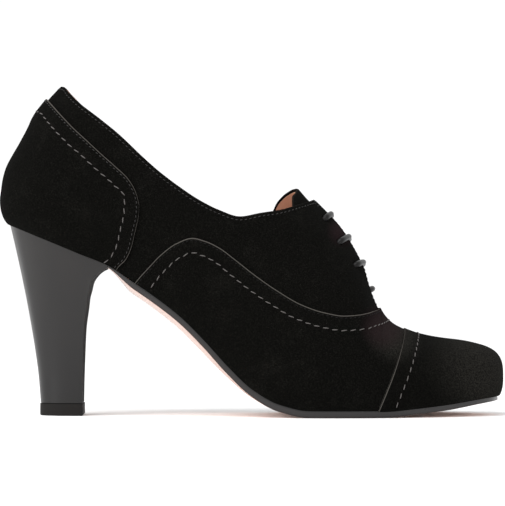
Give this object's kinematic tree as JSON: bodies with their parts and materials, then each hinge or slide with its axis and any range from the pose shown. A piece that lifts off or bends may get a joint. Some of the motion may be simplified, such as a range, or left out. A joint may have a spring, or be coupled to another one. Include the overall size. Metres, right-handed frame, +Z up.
{
  "type": "lace up heel",
  "caption": "Woman's laced court shoe in black suede with a toe cap, curved vamp panel, heel counter and high tapered block heel.",
  "frame": {"origin": "middle of the heel tip's worn face, on the floor", "axes": "+X to the toe, +Y to the medial (inner) side of this right shoe, +Z up"},
  "size_m": [0.2318, 0.0851, 0.1512],
  "materials": {
    "suede": "matt black suede with a short nap",
    "lining_leather": "smooth tan lining leather",
    "sole_leather": "smooth pinkish natural leather with a polished dark edge",
    "heel_lacquer": "dark grey satin lacquer",
    "heel_rubber": "matt dark grey rubber",
    "waxed_lace": "round waxed cord with a soft shine"
  },
  "bodies": {
    "root": {"upper": "suede", "vamp": "suede", "toe_cap": "suede", "heel_counter": "suede", "tongue": "suede", "insole": "lining_leather", "outsole": "sole_leather", "heel": "heel_lacquer", "heel_tip": "heel_rubber", "lace_bar_1": "waxed_lace", "lace_bar_2": "waxed_lace", "lace_bar_3": "waxed_lace", "lace_bar_4": "waxed_lace"}
  },
  "joints": []
}
